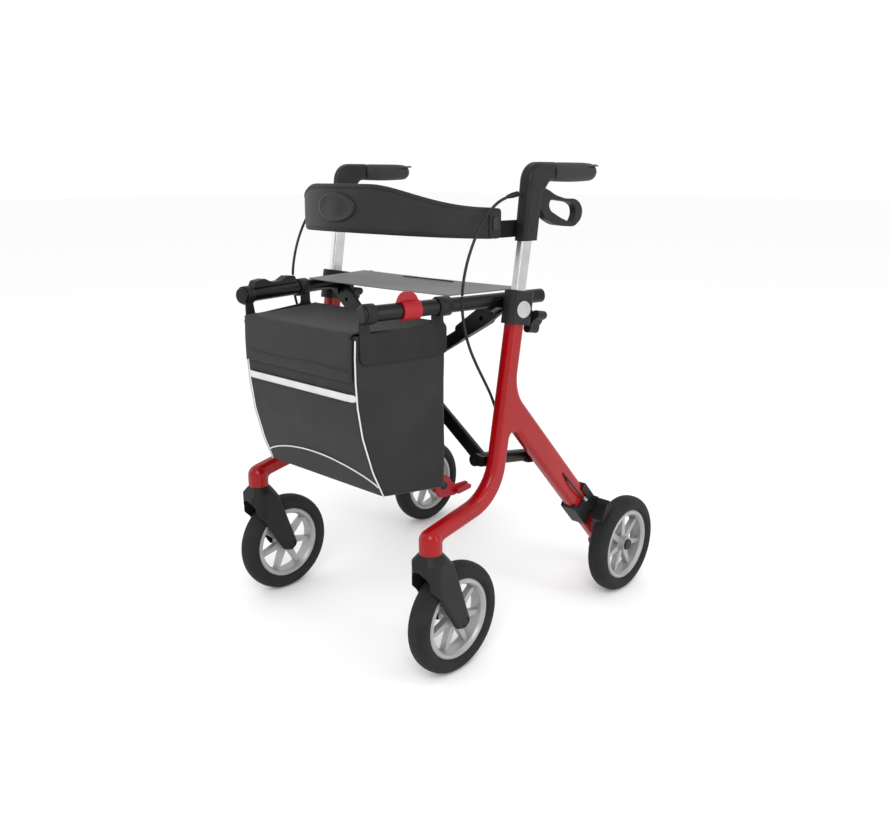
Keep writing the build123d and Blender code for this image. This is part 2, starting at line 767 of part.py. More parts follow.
def brace_bar(letter, sign):
    """One scissor bar, from the lower pivot on its side to the rail opposite.

    sign is the side of its lower end. Bar a runs in front of bar b.
    """
    front = letter == "a"
    near = BAR_GAP if front else -BAR_GAP
    way = 1 if front else -1
    turn = math.degrees(math.atan2(PIVOT_U, PIVOT_X))
    reach = math.hypot(PIVOT_U, PIVOT_X)
    middle = (reach - BAR_REACH) / 2
    with BuildPart() as bar:
        with BuildSketch(brace_plane(near)):
            with Locations((sign * middle * PIVOT_X / reach, -middle * PIVOT_U / reach)):
                SlotCenterToCenter(reach + BAR_REACH, BAR_WIDTH, rotation=-sign * turn)
        extrude(amount=way * BAR_DEPTH)
        flat_faces = bar.faces().filter_by(brace_plane())
        fillet(flat_faces.edges(), radius=3.5)
        with BuildSketch(brace_plane(-9 if front else -13)):
            with Locations((sign * PIVOT_X, -PIVOT_U)):
                Circle(SLEEVE_R)
        extrude(amount=22)
        with BuildSketch(brace_plane(-60)):
            with Locations((sign * PIVOT_X, -PIVOT_U)):
                Circle(AXLE_R + RUNNING_GAP)
            with Locations((0, 0)):
                Circle(4 if front else 4 + RUNNING_GAP)
        extrude(amount=120, mode=Mode.SUBTRACT)
    save(bar, f"brace_bar_{letter}")

    side = -sign
    plate_at = BAR_GAP + BAR_DEPTH if front else -BAR_GAP
    with BuildPart() as bracket:
        with BuildSketch(brace_plane(plate_at)):
            with BuildLine():
                FilletPolyline(
                    (side * 124, 62),
                    (side * 112, 88),
                    (side * 158, 124),
                    (side * 190, 152),
                    (side * 221, 152),
                    (side * 221, 130),
                    (side * 200, 112),
                    (side * 178, 96),
                    radius=[8, 8, 20, 6, 8, 8, 20, 30],
                    close=True,
                )
            make_face()
            with Locations((side * 196, 122), (side * 172, 110)):
                Circle(4, mode=Mode.SUBTRACT)
        extrude(amount=7)
        with BuildSketch(brace_plane(-14)):
            with BuildLine():
                Polyline(
                    (side * 192, 124),
                    (side * 208, 124),
                    (side * 221.5, 133),
                    (side * 221.5, 152),
                    (side * 192, 152),
                    close=True,
                )
            make_face()
        extrude(amount=42)
        add(bar.part, mode=Mode.SUBTRACT)
        with BuildSketch(rail_plane(side, -50)):
            Circle(RAIL_R)
        extrude(amount=rail_length() + 100, mode=Mode.SUBTRACT)
        with BuildSketch(Plane.XY.offset(RAIL_Z + 4)):
            Rectangle(700, 900)
        extrude(amount=40, mode=Mode.SUBTRACT)
    save(bracket, f"brace_bracket_{letter}")


def brace_pivot_bolt():
    """Centre bolt of the scissor, held in bar a."""
    with BuildPart() as bolt:
        with BuildSketch(brace_plane(-BAR_GAP - BAR_DEPTH - 4)):
            Circle(4)
        extrude(amount=2 * (BAR_GAP + BAR_DEPTH) + 4)
        with BuildSketch(brace_plane(BAR_GAP + BAR_DEPTH)):
            Circle(8)
        extrude(amount=4)
        with BuildSketch(brace_plane(-BAR_GAP - BAR_DEPTH - 0.3)):
            Circle(8)
        extrude(amount=-4)
    save(bolt, "brace_pivot_bolt")


def fold_clip():
    """Red lock that turns on the left rail's sleeve."""
    start = along_rail(-272)
    with BuildPart() as clip:
        with BuildSketch(rail_plane(1, start)):
            Circle(RAIL_SLEEVE_R + 3.5)
        extrude(amount=34)
        centre = rail_plane(1, start + 15)
        tab_plane = Plane(centre.origin, x_dir=centre.z_dir, z_dir=centre.x_dir)
        with BuildSketch(tab_plane):
            with Locations((0, 11 * (1 if tab_plane.y_dir.Z > 0 else -1))):
                Circle(19)
        extrude(amount=4, both=True)
        with BuildSketch(rail_plane(1, start - 30)):
            Circle(RAIL_SLEEVE_R + 0.3)
        extrude(amount=100, mode=Mode.SUBTRACT)
    save(clip, "fold_clip")


def rail_saddle():
    """Black catch with two humps on the right rail's sleeve."""
    base = rail_plane(-1)
    wall = Plane(base.origin, x_dir=base.z_dir, z_dir=base.x_dir)
    up = 1 if wall.y_dir.Z > 0 else -1
    humps = [(-319, 12), (-312, 24), (-290, 26), (-272, 18)]
    humps += [(-250, 18), (-232, 26), (-212, 24), (-207, 12)]
    with BuildPart() as saddle:
        with BuildSketch(wall):
            with BuildLine():
                points = [(along_rail(y), up * rise) for y, rise in humps]
                FilletPolyline(*points, radius=[0, 6, 8, 12, 12, 8, 6, 0], close=True)
            make_face()
        extrude(amount=8, both=True)
        with BuildSketch(rail_plane(-1)):
            Circle(RAIL_SLEEVE_R)
        extrude(amount=RAIL_SLEEVE_END, mode=Mode.SUBTRACT)
    save(saddle, "rail_saddle")


def seat_sling():
    """Flat fabric seat lying on both rails."""
    with BuildPart() as sling:
        with BuildSketch(Plane.XY.offset(SLING_Z[0])):
            with BuildLine():
                Polyline(
                    (-SLING_FRONT[0], SLING_FRONT[1]),
                    SLING_FRONT,
                    SLING_REAR,
                    (-SLING_REAR[0], SLING_REAR[1]),
                    (-SLING_FRONT[0], SLING_FRONT[1]),
                )
            make_face()
        extrude(amount=SLING_Z[1] - SLING_Z[0])
    save(sling, "seat_sling")


def bag():
    """Shopping bag with an open top, its lid, and the plates that hang it."""
    front = [(-345, BAG_TOP), (-346.8, 560), (-346.5, 521), (-344, 480), (-336, 428), (-318, 366), (-297, 318)]
    with BuildPart() as body:
        with BuildSketch(Plane.YZ):
            with BuildLine():
                Spline(*front)
                Polyline(front[-1], (BAG_REAR[1], 306), (BAG_REAR[1], BAG_TOP), front[0])
            make_face()
        extrude(amount=BAG_REAR[0], both=True)
        with BuildSketch(Plane.XY.offset(300)):
            with BuildLine():
                Polyline(*bag_plan(0, BAG_REAR[1]), close=True)
            make_face()
        extrude(amount=300, mode=Mode.INTERSECT)
    with BuildPart() as hollow:
        with BuildSketch(Plane.YZ):
            with BuildLine():
                inner = [(y + BAG_WALL, z) for y, z in front[:-1]]
                Spline(*inner)
                Polyline(
                    inner[-1],
                    (-294, 326),
                    (BAG_REAR[1] - BAG_WALL, 312),
                    (BAG_REAR[1] - BAG_WALL, BAG_TOP),
                    inner[0],
                )
            make_face()
        extrude(amount=BAG_REAR[0], both=True)
        with BuildSketch(Plane.XY.offset(300)):
            with BuildLine():
                Polyline(*bag_plan(BAG_WALL, BAG_REAR[1]), close=True)
            make_face()
        extrude(amount=300, mode=Mode.INTERSECT)
    with BuildPart() as shell:
        add(body.part)
        add(hollow.part, mode=Mode.SUBTRACT)
    save(shell, "bag_body")

    with BuildPart() as lid:
        with BuildSketch(Plane.YZ):
            with BuildLine():
                Polyline(
                    (BAG_REAR[1] - 1, BAG_TOP + 0.4),
                    (BAG_REAR[1] - 1, BAG_TOP + 4),
                    (-350.3, BAG_TOP + 4),
                    (-351.2, 522),
                    (-347.6, 522),
                    (-347.3, BAG_TOP + 0.4),
                    close=True,
                )
            make_face()
        extrude(amount=BAG_REAR[0], both=True)
        with BuildSketch(Plane.XY.offset(500)):
            with BuildLine():
                Polyline(*bag_plan(LID_INSET, BAG_REAR[1]), close=True)
            make_face()
        extrude(amount=200, mode=Mode.INTERSECT)
    save(lid, "bag_lid")

    with BuildPart() as hooks:
        for sign in (1, -1):
            for y0, y1 in HOOK_ARMS:
                rail_x = sign * rail_at((y0 + y1) / 2)
                side_x = sign * bag_half((y0 + y1) / 2)
                with BuildSketch(Plane.XZ.offset(-y1)):
                    with Locations((rail_x, RAIL_Z)):
                        Circle(RAIL_SLEEVE_R + 3.4)
                    with BuildLine():
                        Polyline(
                            (rail_x - sign * 16.4, RAIL_Z),
                            (rail_x, RAIL_Z),
                            (side_x + sign * 5, 612),
                            (side_x + sign * 4, 590),
                            (side_x, 590),
                            (side_x, BAG_TOP + 3),
                            close=True,
                        )
                    make_face()
                extrude(amount=y1 - y0)
            with BuildSketch(bag_side_plane(sign)):
                with BuildLine():
                    FilletPolyline(
                        (5, 598),
                        (172, 598),
                        (178, 590),
                        (178, 549),
                        (5, 549),
                        radius=[0, 8, 8, 12, 16],
                        close=True,
                    )
                make_face()
            extrude(amount=sign * BAG_PLATE)
            with BuildSketch(rail_plane(sign, -40)):
                Circle(RAIL_SLEEVE_R + 0.6)
            extrude(amount=300, mode=Mode.SUBTRACT)
            with BuildSketch(rail_plane(sign, 0.4)):
                Circle(RAIL_CAP_R + 0.4)
            extrude(amount=-40, mode=Mode.SUBTRACT)
        add(shell.part, mode=Mode.SUBTRACT)
    save(hooks, "bag_hooks")


def backrest():
    """Curved padded band between the handles, and its end straps."""
    inner_y = PAD_MIDDLE_Y + PAD_THICK
    inner_x = PAD_END[0] - 9
    face_outline = [
        (-226, 737),
        (-120, 744),
        (0, 745),
        (120, 744),
        (226, 737),
        (226, 786),
        (120, 818),
        (0, 830),
        (-120, 818),
        (-226, 786),
    ]
    with BuildPart() as pad:
        with BuildSketch(Plane.XY.offset(725)):
            with BuildLine():
                ThreePointArc((-PAD_END[0], PAD_END[1]), (0, PAD_MIDDLE_Y), PAD_END)
                Line(PAD_END, (inner_x, PAD_END[1] + 6))
                ThreePointArc((inner_x, PAD_END[1] + 6), (0, inner_y), (-inner_x, PAD_END[1] + 6))
                Line((-inner_x, PAD_END[1] + 6), (-PAD_END[0], PAD_END[1]))
            make_face()
        extrude(amount=120)
        with BuildSketch(Plane.XZ.offset(300)):
            with BuildLine():
                Polyline(*face_outline, close=True)
            make_face()
        extrude(amount=-300, mode=Mode.INTERSECT)
    save(pad, "backrest_pad")

    with BuildPart() as straps:
        for sign in (1, -1):
            face = SIDE_X - HOUSING_WIDTH / 2
            with BuildSketch(Plane.XY.offset(STRAP_Z[0])):
                with Locations((sign * (face - 2.3), -72)):
                    Rectangle(4, 50)
            extrude(amount=STRAP_Z[1] - STRAP_Z[0])
    save(straps, "backrest_straps")


def route_radii(points):
    """Largest even arc at each corner of a cord's route."""
    radii = []
    for before, at, after in zip(points, points[1:], points[2:]):
        a = Vector(*at) - Vector(*before)
        b = Vector(*after) - Vector(*at)
        half_turn = math.radians(a.get_angle(b)) / 2
        radii.append(0.45 * min(a.length, b.length) / math.tan(half_turn))
    return radii


def cord_tube(points, radius):
    """Tube along a route, and a printed comparison of its volume."""
    radii = route_radii(points)
    with BuildPart() as tube:
        with BuildLine() as path:
            FilletPolyline(*points, radius=radii)
        start = path.line @ 0
        with BuildSketch(Plane(start, z_dir=path.line % 0)):
            Circle(radius)
        sweep(path=path.line)
    length = path.wires()[0].length
    expected = math.pi * radius**2 * length
    print("radii", [round(r) for r in radii], "length", round(length, 1))
    print("volume", round(tube.part.volume), "expected", round(expected))
    return tube


def cables(name, sign):
    """Brake cable from the housing to the column, and its lower end at the brake."""
    upper = [
        (232, -64.6, 808),
        (229, -84, 804),
        (226, -109, 791),
        (224, -135, 765),
        (223, -157, 731),
        (222, -173, 692),
        (222, -181, 650),
        (222, -177, 607),
        (222, -163, 566),
        (222, -142, 530),
        (222, -119, 496),
        (223, -100, 465),
        (224.6, -91, 439),
    ]
    cable = cord_tube([(sign * x, y, z) for x, y, z in upper], CABLE_R)
    save(cable, f"brake_cable_{name}")

    lower = [
        (254.7, 85, 280),
        (258, 97, 266),
        (260, 112, 249),
        (260.6, 127, 235),
        (260.2, 141, 224),
    ]
    cable_end = cord_tube([(sign * x, y, z) for x, y, z in lower], LOWER_CABLE_R)
    tip = Vector(sign * 260.2, 141, 224)
    way = Vector(-sign * 0.4, 14, -11).normalized()
    with BuildPart() as ferrule:
        with BuildSketch(Plane(tip, z_dir=way)):
            Circle(3.2)
        extrude(amount=12)
    save_group([cable_end, ferrule], f"brake_cable_lower_{name}")


os.makedirs("parts", exist_ok=True)
for name, sign in SIDES.items():
    frame = side_frame(name, sign)
    height_clamp(name, sign)
    clamp_cap(name, sign)
    height_knob(name, sign)
    handle_tube(name, sign)
    handle_housing(name, sign)
    grip(name, sign)
    brake_lever(name, sign)
    wheel("rear", name, sign * REAR_WHEEL_X, REAR_WHEEL_Y, REAR_AXLE_R, 16)
    wheel("front", name, sign * SIDE_X, FRONT_WHEEL_Y, FRONT_AXLE_R, 20)
    caster(name, sign)
    rear_axle(name, sign)
    kerb_pedal(name, sign)
    brake_parts(name, sign, frame)
    pivot_axle(name, sign, frame)
    cables(name, sign)
seat_rail("left", 1)
seat_rail("right", -1)
brace_bar("a", 1)
brace_bar("b", -1)
brace_pivot_bolt()
fold_clip()
rail_saddle()
seat_sling()
bag()
backrest()
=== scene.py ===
"""Looks for the rollator walker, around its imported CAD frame.

Metres, in the CAD frame: +Z up, the front faces -Y, +X is the user's left. Outlines, routes and profiles are
listed in millimetres and divided by 1000 where they become vertices.
"""
import json
import math

import bpy
import bmesh
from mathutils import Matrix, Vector, noise


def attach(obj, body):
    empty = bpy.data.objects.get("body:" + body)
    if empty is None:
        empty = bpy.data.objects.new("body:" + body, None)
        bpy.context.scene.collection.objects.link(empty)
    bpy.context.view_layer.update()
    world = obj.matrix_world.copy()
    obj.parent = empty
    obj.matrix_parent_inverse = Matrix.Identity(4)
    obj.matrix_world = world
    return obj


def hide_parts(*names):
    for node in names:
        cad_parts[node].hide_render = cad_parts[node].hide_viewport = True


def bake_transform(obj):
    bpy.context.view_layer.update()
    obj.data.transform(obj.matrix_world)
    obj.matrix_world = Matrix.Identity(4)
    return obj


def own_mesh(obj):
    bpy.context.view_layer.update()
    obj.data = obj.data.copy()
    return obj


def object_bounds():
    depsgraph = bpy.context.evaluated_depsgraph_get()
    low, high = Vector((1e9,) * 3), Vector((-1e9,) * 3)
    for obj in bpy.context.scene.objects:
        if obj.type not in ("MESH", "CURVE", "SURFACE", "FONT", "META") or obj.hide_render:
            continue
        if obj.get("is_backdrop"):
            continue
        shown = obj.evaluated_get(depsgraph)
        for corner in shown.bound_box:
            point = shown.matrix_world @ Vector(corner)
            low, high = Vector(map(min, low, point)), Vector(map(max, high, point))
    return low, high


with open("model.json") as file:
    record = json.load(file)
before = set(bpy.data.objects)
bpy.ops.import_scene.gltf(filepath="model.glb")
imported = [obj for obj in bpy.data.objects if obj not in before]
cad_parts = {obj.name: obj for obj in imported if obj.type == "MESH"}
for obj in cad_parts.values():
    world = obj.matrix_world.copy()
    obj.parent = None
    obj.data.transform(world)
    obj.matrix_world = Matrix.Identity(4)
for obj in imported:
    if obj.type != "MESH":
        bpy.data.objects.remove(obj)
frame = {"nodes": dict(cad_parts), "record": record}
CAD_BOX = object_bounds()
NODES = frame["nodes"]
SIDES = (("left", 1), ("right", -1))
UP = Vector((0, 0, 1))
SCENE = bpy.context.scene
SCENE.view_settings.view_transform = "Standard"

# Camera
CAMERA_AT = (1.16464, -1.23284, 0.84173)
CAMERA_BACK = Vector((0.6577, -0.7065, 0.2608))
FOCAL_MM, SENSOR_MM = 35.34, 36
cam = bpy.data.objects.new("camera", bpy.data.cameras.new("camera"))
cam.data.lens = FOCAL_MM
cam.data.sensor_width = SENSOR_MM
SCENE.collection.objects.link(cam)
cam.location = CAMERA_AT
cam.rotation_euler = CAMERA_BACK.normalized().to_track_quat("Z", "Y").to_euler()
SCENE.camera = cam

# Materials
GAMMA = 2.2
PATCH_EDGES = (0.35, 0.65)
RELIEF_DEPTH = 0.0006
THREAD_WOBBLE = 0.6


def colour(red, green, blue):
    """Linear colour of sRGB levels from 0 to 255."""
    return tuple((level / 255) ** GAMMA for level in (red, green, blue))


def grey(level):
    """Linear grey of an sRGB level."""
    return colour(level, level, level)


def weave_height(nodes, links, place, scale):
    """Height of threads that run across each axis."""
    height = None
    for axis in "XYZ":
        wave = nodes.new("ShaderNodeTexWave")
        wave.bands_direction = axis
        wave.inputs["Scale"].default_value = scale
        wave.inputs["Distortion"].default_value = THREAD_WOBBLE
        links.new(place, wave.inputs["Vector"])
        if height is None:
            height = wave.outputs["Fac"]
        else:
            total = nodes.new("ShaderNodeMath")
            links.new(height, total.inputs[0])
            links.new(wave.outputs["Fac"], total.inputs[1])
            height = total.outputs[0]
    return height


def noise_texture(nodes, links, place, scale, detail):
    """Factor of a noise texture."""
    texture = nodes.new("ShaderNodeTexNoise")
    texture.inputs["Scale"].default_value = scale
    texture.inputs["Detail"].default_value = detail
    links.new(place, texture.inputs["Vector"])
    return texture.outputs["Fac"]


def surface(name, dark, light, rough, metallic=0.0, patch=30.0, grain=900.0, bump=0.1, weave=0.0,
            **sockets):
    """Procedural finish: colour patches, uneven gloss, and a grain or a weave in relief."""
    mat = bpy.data.materials.new(name)
    mat.use_nodes = True
    nodes, links = mat.node_tree.nodes, mat.node_tree.links
    shader = nodes["Principled BSDF"]
    shader.inputs["Metallic"].default_value = metallic
    for key, value in sockets.items():
        shader.inputs[key.replace("_", " ")].default_value = value
    place = nodes.new("ShaderNodeTexCoord").outputs["Object"]
    patches = noise_texture(nodes, links, place, patch, 6)
    ramp = nodes.new("ShaderNodeValToRGB")
    for stop, edge, shade in zip(ramp.color_ramp.elements, PATCH_EDGES, (dark, light)):
        stop.position = edge
        stop.color = (*shade, 1)
    links.new(patches, ramp.inputs["Fac"])
    links.new(ramp.outputs["Color"], shader.inputs["Base Color"])
    gloss = nodes.new("ShaderNodeMapRange")
    gloss.inputs["To Min"].default_value = rough[0]
    gloss.inputs["To Max"].default_value = rough[1]
    links.new(patches, gloss.inputs["Value"])
    links.new(gloss.outputs["Result"], shader.inputs["Roughness"])
    if weave:
        height = weave_height(nodes, links, place, weave)
    else:
        height = noise_texture(nodes, links, place, grain, 3)
    relief = nodes.new("ShaderNodeBump")
    relief.inputs["Strength"].default_value = bump
    relief.inputs["Distance"].default_value = RELIEF_DEPTH
    links.new(height, relief.inputs["Height"])
    links.new(relief.outputs["Normal"], shader.inputs["Normal"])
    return mat


MATS = {
    "frame_red": surface(
        "frame_red", colour(134, 3, 13), colour(144, 5, 17), (0.24, 0.32), patch=14, grain=300, bump=0.02,
        Coat_Weight=0.2, Coat_Roughness=0.08, Specular_IOR_Level=0.2),
    "plastic_black": surface(
        "plastic_black", grey(26), grey(32), (0.4, 0.52), grain=1500, bump=0.22, Specular_IOR_Level=0.22),
    "plastic_red": surface(
        "plastic_red", colour(140, 14, 28), colour(150, 18, 32), (0.4, 0.5), bump=0.12,
        Specular_IOR_Level=0.3),
    "bright_aluminium": surface(
        "bright_aluminium", grey(188), grey(204), (0.22, 0.32), metallic=1.0, bump=0.05),
    "black_tube": surface(
        "black_tube", grey(14), grey(19), (0.28, 0.38), bump=0.08, Specular_IOR_Level=0.25),
    "steel_bolt": surface("steel_bolt", grey(150), grey(185), (0.25, 0.4), metallic=1.0, bump=0.06),
    "rim_silver": surface("rim_silver", grey(150), grey(162), (0.32, 0.45), metallic=0.45, bump=0.08),
    "tyre_rubber": surface(
        "tyre_rubber", grey(30), grey(38), (0.7, 0.85), grain=700, bump=0.35, Specular_IOR_Level=0.25),
    "grip_rubber": surface(
        "grip_rubber", grey(34), grey(40), (0.5, 0.62), grain=1200, bump=0.3, Specular_IOR_Level=0.3),
    "bag_fabric": surface(
        "bag_fabric", grey(37), grey(44), (0.55, 0.7), patch=9, weave=560, bump=0.3,
        Specular_IOR_Level=0.25, Sheen_Weight=0.04),
    "seat_fabric": surface(
        "seat_fabric", grey(96), grey(106), (0.5, 0.65), patch=16, weave=420, bump=0.4,
        Specular_IOR_Level=0.4, Sheen_Weight=0.1),
    "backrest_fabric": surface(
        "backrest_fabric", grey(33), grey(40), (0.5, 0.65), patch=12, weave=640, bump=0.25,
        Specular_IOR_Level=0.25, Sheen_Weight=0.05),
    "cable_jacket": surface(
        "cable_jacket", grey(18), grey(24), (0.35, 0.45), bump=0.05, Specular_IOR_Level=0.3),
    "piping_white": surface("piping_white", grey(196), grey(206), (0.4, 0.5), weave=900, bump=0.2),
    "webbing": surface(
        "webbing", grey(16), grey(23), (0.6, 0.75), weave=700, bump=0.5, Specular_IOR_Level=0.2),
    "badge": surface("badge", grey(30), grey(36), (0.3, 0.4), bump=0.05, Specular_IOR_Level=0.3),
}


def paint(thing, mat):
    """Give a CAD object its only material."""
    thing.data.materials.clear()
    thing.data.materials.append(MATS[mat])


SLOTS = {row["node"]: row["material_slot"] for row in frame["record"]["subparts"]}
for node, thing in NODES.items():
    paint(thing, SLOTS[node])
for name, _ in SIDES:
    paint(NODES[f"front_axle_{name}"], "black_tube")
    paint(NODES[f"rear_axle_{name}"], "black_tube")


# Pieces
def piece(name, verts, faces, mat, body, smooth=True):
    """A mesh piece, which rides on a body if one is named."""
    mesh = bpy.data.meshes.new(name)
    mesh.from_pydata([tuple(v) for v in verts], [], faces)
    mesh.validate()
    work = bmesh.new()
    work.from_mesh(mesh)
    bmesh.ops.recalc_face_normals(work, faces=work.faces)
    work.to_mesh(mesh)
    work.free()
    thing = bpy.data.objects.new(name, mesh)
    SCENE.collection.objects.link(thing)
    thing.data.materials.append(MATS[mat])
    if smooth:
        mesh.shade_smooth()
    if body:
        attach(thing, body)
    return thing


def bake(thing):
    """Apply every modifier of a piece."""
    bpy.context.view_layer.update()
    graph = bpy.context.evaluated_depsgraph_get()
    mesh = bpy.data.meshes.new_from_object(thing.evaluated_get(graph))
    thing.modifiers.clear()
    thing.data = mesh
    return thing


def refine(thing, thick=0.0, offset=-1.0):
    """Give a sheet its thickness, if it has one, and smooth it once."""
    if thick:
        solid = thing.modifiers.new("thickness", "SOLIDIFY")
        solid.thickness = thick
        solid.offset = offset
    smooth = thing.modifiers.new("smooth", "SUBSURF")
    smooth.levels = 1
    smooth.render_levels = 1
    return bake(thing)


def soften(thing, width):
    """Round the sharp edges of a piece."""
    soft = thing.modifiers.new("edge", "BEVEL")
    soft.width = width
    soft.segments = 2
    soft.limit_method = "ANGLE"
    return bake(thing)


def circle(count):
    """Cosines and sines of even steps round a turn."""
    turns = [2 * math.pi * k / count for k in range(count)]
    return [(math.cos(turn), math.sin(turn)) for turn in turns]


def tube_faces(rings, sides, caps=True):
    """Quads between rings of vertices, and a face over each end."""
    faces = []
    for r in range(rings - 1):
        for k in range(sides):
            a, b = r * sides + k, r * sides + (k + 1) % sides
            faces.append((a, b, b + sides, a + sides))
    if caps:
        faces.append(tuple(range(sides)))
        faces.append(tuple(range((rings - 1) * sides, rings * sides)))
    return faces


def grid_faces(rows, columns):
    """Quads of a sheet, whose vertices come row by row."""
    faces = []
    for r in range(rows):
        for k in range(columns):
            a = r * (columns + 1) + k
            faces.append((a, a + 1, a + columns + 2, a + columns + 1))
    return faces


def nurbs(name, points, resolution=12):
    """Curve data of the NURBS spline that has the given control points."""
    data = bpy.data.curves.new(name, "CURVE")
    data.dimensions = "3D"
    data.resolution_u = resolution
    run = data.splines.new("NURBS")
    run.points.add(len(points) - 1)
    for at, point in zip(run.points, points):
        at.co = (*point, 1)
    run.order_u = 3
    run.use_endpoint_u = True
    return data


def spline_points(points, resolution=10):
    """Even points along the NURBS spline that has the given control points."""
    guide = bpy.data.objects.new("guide", nurbs("guide", points, resolution))
    mesh = bpy.data.meshes.new_from_object(guide)
    path = [vert.co.copy() for vert in mesh.vertices]
    bpy.data.objects.remove(guide)
    return path


def tube_mesh(path, radius, sides=12):
    """Vertices and faces of a closed tube along a path, with one radius or one for each point."""
    verts = []
    for i, point in enumerate(path):
        ahead = (path[min(i + 1, len(path) - 1)] - path[max(i - 1, 0)]).normalized()
        side = ahead.cross(UP)
        side = side.normalized() if side.length > 0.05 else Vector((1, 0, 0))
        top = side.cross(ahead)
        size = radius[i] if isinstance(radius, list) else radius
        verts += [point + size * (c * side + s * top) for c, s in circle(sides)]
    return verts, tube_faces(len(path), sides)


def mm(points, sign=1):
    """Millimetre points as metre vectors, mirrored for the right side."""
    return [Vector((sign * x, y, z)) / 1000 for x, y, z in points]


# Brake cables: the upper one hangs from the housing to the column, the lower one leaves the rear leg
CABLE_ROUTE = [
    (232, -64.6, 808), (229, -84, 804), (226, -109, 791), (224, -135, 765), (223, -157, 731),
    (222, -173, 692), (222, -181, 650), (222, -177, 607), (222, -163, 566), (222, -142, 530),
    (222, -119, 496), (223, -100, 465), (224.6, -91, 439),
]
CABLE_LOWER = [(254.7, 85, 280), (258, 97, 266), (260, 112, 249), (260.6, 127, 235), (260.2, 141, 224)]
FERRULE = [(0, 3.2), (2, 3.2), (2, 2.7), (9, 2.7), (9, 3.2), (12, 3.2)]
GROMMET_AT = (0.2532, 0.0866, 0.2799)
GROMMET_LONG, GROMMET_SHORT = 0.011, 0.006
LEG_Y, LEG_Z = 0.72, 0.69
for name, sign in SIDES:
    path = spline_points(mm(CABLE_ROUTE, sign))
    cable = piece(f"brake_cable_outer_{name}", *tube_mesh(path, 0.0025), "cable_jacket", None)
    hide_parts(f"brake_cable_{name}")
    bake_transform(cable)

    lower_path = mm(CABLE_LOWER, sign)
    data = nurbs(f"brake_cable_end_{name}", lower_path)
    data.bevel_depth = 0.002
    data.bevel_resolution = 4
    data.use_fill_caps = True
    data.materials.append(MATS["cable_jacket"])
    lower = bpy.data.objects.new(f"brake_cable_end_{name}", data)
    SCENE.collection.objects.link(lower)
    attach(lower, f"{name}_frame")
    way = Vector((-sign * 0.4, 14, -11)).normalized()
    fitting_path = [lower_path[-1] + way * along / 1000 for along, _ in FERRULE]
    fitting_radii = [radius / 1000 for _, radius in FERRULE]
    fitting = piece(f"cable_ferrule_{name}", *tube_mesh(fitting_path, fitting_radii, 16), "steel_bolt",
                    f"{name}_frame")
    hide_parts(f"brake_cable_lower_{name}")

    ring = []
    x, y, z = GROMMET_AT
    for t in range(25):
        c, s = GROMMET_LONG * math.cos(t * math.pi / 12), GROMMET_SHORT * math.sin(t * math.pi / 12)
        ring.append(Vector((sign * x, y + c * LEG_Y - s * LEG_Z, z - c * LEG_Z + s * LEG_Y)))
    piece(f"cable_grommet_{name}", *tube_mesh(ring, 0.0022, 8), "cable_jacket", f"{name}_frame")


# Bag: (height, front) pairs down its front, then its plan
BAG_FRONT_LINE = [
    (597, -345), (560, -346.8), (521, -346.5), (480, -344), (428, -336), (366, -318), (318, -297),
]
BAG_FRONT_Y, BAG_REAR_Y = -345, -166.0
BAG_DEPTH = 179
BAG_TOP, BAG_HEIGHT = 597, 279
BAG_MIDDLE = Vector((0, -255))


def bag_front(z):
    """Front of the bag at a height."""
    for (z1, y1), (z0, y0) in zip(BAG_FRONT_LINE, BAG_FRONT_LINE[1:]):
        if z >= z0:
            return y0 + (y1 - y0) * (z - z0) / (z1 - z0)
    return BAG_FRONT_LINE[-1][1]


def bag_half(y):
    """Half-width of the bag at y."""
    return 148 + 28 * (y - BAG_FRONT_Y) / BAG_DEPTH


def rounded_loop(corners, radii, steps, arc=6):
    """Closed outline with rounded corners and evenly divided sides."""
    ends = []
    count = len(corners)
    for i, corner in enumerate(corners):
        here = Vector(corner)
        before = (Vector(corners[i - 1]) - here).normalized() * radii[i]
        after = (Vector(corners[(i + 1) % count]) - here).normalized() * radii[i]
        ends.append((here + before, here, here + after))
    points = []
    for i, (first, middle, last) in enumerate(ends):
        for k in range(arc + 1):
            t = k / arc
            points.append((1 - t) ** 2 * first + 2 * t * (1 - t) * middle + t * t * last)
        following = ends[(i + 1) % count][0]
        for k in range(1, steps[i]):
            points.append(last.lerp(following, k / steps[i]))
    return points


def bag_ring(z):
    """Plan of the bag at a height, in millimetres."""
    front, rear = bag_front(z), BAG_REAR_Y
    near, far = bag_half(front), bag_half(rear)
    corners = [(-near, front), (near, front), (far, rear), (-far, rear)]
    return rounded_loop(corners, [9, 9, 12, 12], [26, 18, 26, 18])


def bag_relief(x, y, z, amount):
    """Soft creases of the hanging fabric."""
    at = Vector((x * 0.012, y * 0.012, z * 0.009))
    return amount * noise.noise(at) + 0.35 * amount * noise.noise(at * 3.1)


